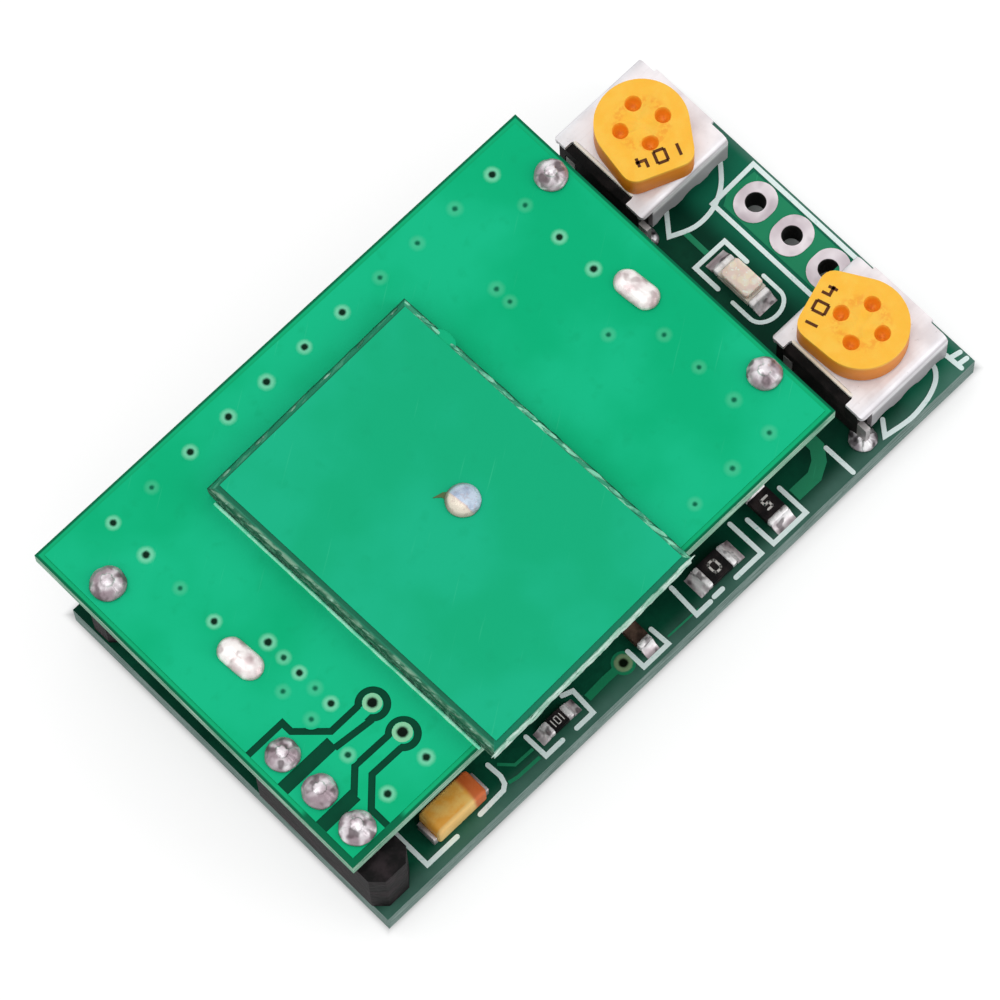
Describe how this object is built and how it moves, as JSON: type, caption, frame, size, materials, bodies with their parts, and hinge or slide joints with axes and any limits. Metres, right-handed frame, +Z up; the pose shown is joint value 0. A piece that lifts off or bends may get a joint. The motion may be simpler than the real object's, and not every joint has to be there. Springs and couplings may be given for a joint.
{
  "type": "microwave radar sensor module",
  "caption": "Stacked two-board microwave motion sensor module: patch antenna board on pins over a main board with turning trimmers, indicator lamp and header holes.",
  "frame": {"origin": "middle of the footprint at the lowest point, the tips of the solder joints under the main board", "axes": "+X along the boards towards the trimmers and the header holes, +Y across the boards towards the edge without chip parts, +Z up out of the patch side of the antenna board"},
  "size_m": [0.0406, 0.0238, 0.0097],
  "materials": {
    "main_mask": "dark green glossy mask over glass laminate",
    "antenna_mask": "green glossy mask over bare glass laminate",
    "copper_mask": "bright green glossy mask over copper",
    "print": "matt pale ink",
    "solder": "bright uneven solder",
    "pin_metal": "tin-plated brass",
    "can_metal": "plain tinned sheet",
    "frame_metal": "plated bent sheet",
    "black_plastic": "black moulded plastic",
    "rotor_orange": "orange moulded plastic",
    "chip_black": "black coated chip",
    "chip_tan": "tan ceramic chip",
    "lamp_base": "white moulded base",
    "lamp_lens": "milky clear resin",
    "tantalum_case": "orange moulded case with a red-brown band"
  },
  "bodies": {
    "module": {"main_board": "main_mask", "header_pads": "solder", "printed_lines": "print", "antenna_board": "antenna_mask", "antenna_copper": "copper_mask", "patch_plate": "antenna_mask", "patch_copper": "copper_mask", "feed_pin": "pin_metal", "feed_solder": "solder", "link_pins": "pin_metal", "link_block": "black_plastic", "support_pins": "pin_metal", "support_blocks": "black_plastic", "top_solder": "solder", "bottom_solder": "solder", "screen_can": "can_metal", "can_solder": "solder", "leg_solder": "solder", "lamp_body": "lamp_base", "lamp_lens": "lamp_lens", "lamp_ends": "solder", "chip_solder": "solder", "tantalum_body": "tantalum_case", "tantalum_leads": "pin_metal", "signal_chip": "chip_black", "signal_leads": "pin_metal", "trimmer_frame_upper": "frame_metal", "trimmer_base_upper": "black_plastic", "trimmer_legs_upper": "pin_metal", "trimmer_frame_lower": "frame_metal", "trimmer_base_lower": "black_plastic", "trimmer_legs_lower": "pin_metal", "resistor_end_body": "chip_black", "resistor_end_ends": "solder", "resistor_bridge_body": "chip_black", "resistor_bridge_ends": "solder", "capacitor_small_body": "chip_tan", "capacitor_small_ends": "solder", "resistor_small_body": "chip_black", "resistor_small_ends": "solder"},
    "rotor_upper": {"trimmer_rotor_upper": "rotor_orange"},
    "rotor_lower": {"trimmer_rotor_lower": "rotor_orange"}
  },
  "joints": [
    {"name": "trimmer_upper_turn", "type": "hinge", "parent": "module", "child": "rotor_upper", "pos_m": [0.01625, 0.00728, 0.0058], "axis": [0, 0, 1], "range_deg": [-182, 48]},
    {"name": "trimmer_lower_turn", "type": "hinge", "parent": "module", "child": "rotor_lower", "pos_m": [0.01635, -0.00775, 0.0058], "axis": [0, 0, 1], "range_deg": [-42, 188]}
  ]
}
